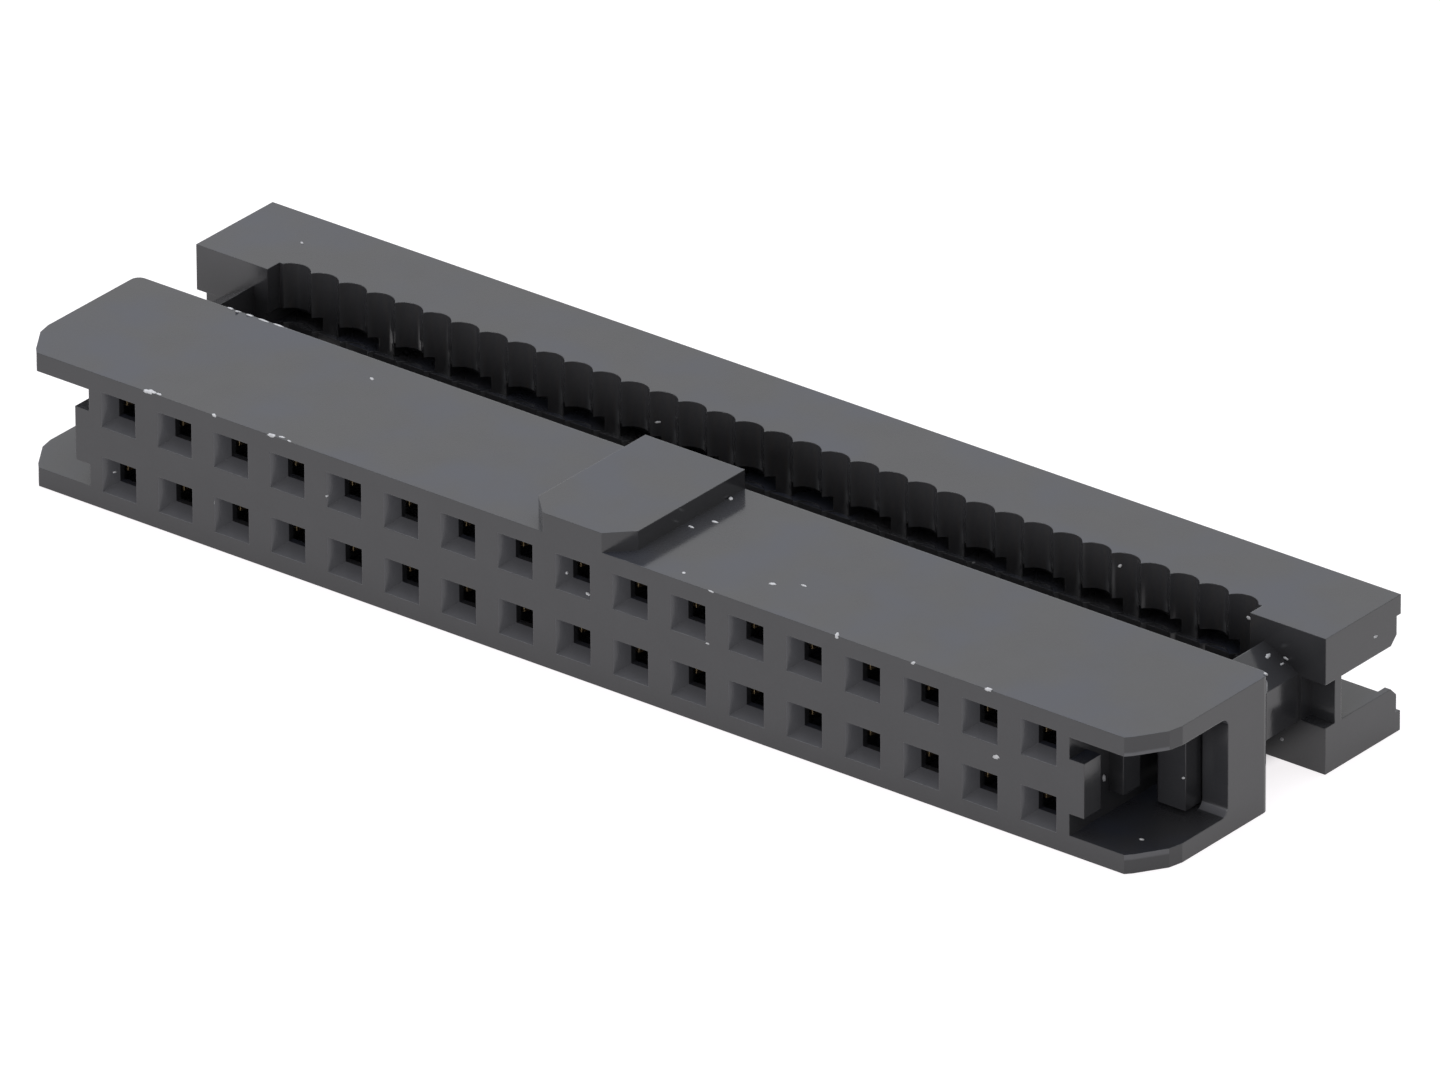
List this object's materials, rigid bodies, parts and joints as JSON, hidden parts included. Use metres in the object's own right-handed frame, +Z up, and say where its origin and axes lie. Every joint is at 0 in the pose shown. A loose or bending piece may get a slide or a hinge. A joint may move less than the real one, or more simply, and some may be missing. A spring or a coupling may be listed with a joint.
{
  "type": "idc ribbon cable socket",
  "caption": "Two-row insulation displacement socket for flat ribbon cable, with a polarising key and a press-on cover held open over the ribbon slot.",
  "frame": {"origin": "middle of the footprint on the surface that the connector lies on", "axes": "+Z up, towards the polarising key; +X along the contact rows; the mating face looks towards -Y and the ribbon slot and cover are towards +Y"},
  "size_m": [0.05, 0.0144, 0.006],
  "materials": {
    "housing_plastic": "matte, lightly mottled moulded charcoal plastic",
    "cover_plastic": "matte, lightly mottled moulded charcoal plastic",
    "contact_metal": "stamped strip, satin"
  },
  "bodies": {
    "socket": {"housing": "housing_plastic", "contact_top_01": "contact_metal", "contact_top_02": "contact_metal", "contact_top_03": "contact_metal", "contact_top_04": "contact_metal", "contact_top_05": "contact_metal", "contact_top_06": "contact_metal", "contact_top_07": "contact_metal", "contact_top_08": "contact_metal", "contact_top_09": "contact_metal", "contact_top_10": "contact_metal", "contact_top_11": "contact_metal", "contact_top_12": "contact_metal", "contact_top_13": "contact_metal", "contact_top_14": "contact_metal", "contact_top_15": "contact_metal", "contact_top_16": "contact_metal", "contact_top_17": "contact_metal", "contact_bottom_01": "contact_metal", "contact_bottom_02": "contact_metal", "contact_bottom_03": "contact_metal", "contact_bottom_04": "contact_metal", "contact_bottom_05": "contact_metal", "contact_bottom_06": "contact_metal", "contact_bottom_07": "contact_metal", "contact_bottom_08": "contact_metal", "contact_bottom_09": "contact_metal", "contact_bottom_10": "contact_metal", "contact_bottom_11": "contact_metal", "contact_bottom_12": "contact_metal", "contact_bottom_13": "contact_metal", "contact_bottom_14": "contact_metal", "contact_bottom_15": "contact_metal", "contact_bottom_16": "contact_metal", "contact_bottom_17": "contact_metal"},
    "cover": {"cover": "cover_plastic"}
  },
  "joints": [
    {"name": "cover_press", "type": "slide", "parent": "socket", "child": "cover", "axis": [0, -1, 0], "range_m": [0, 0.0026]}
  ]
}
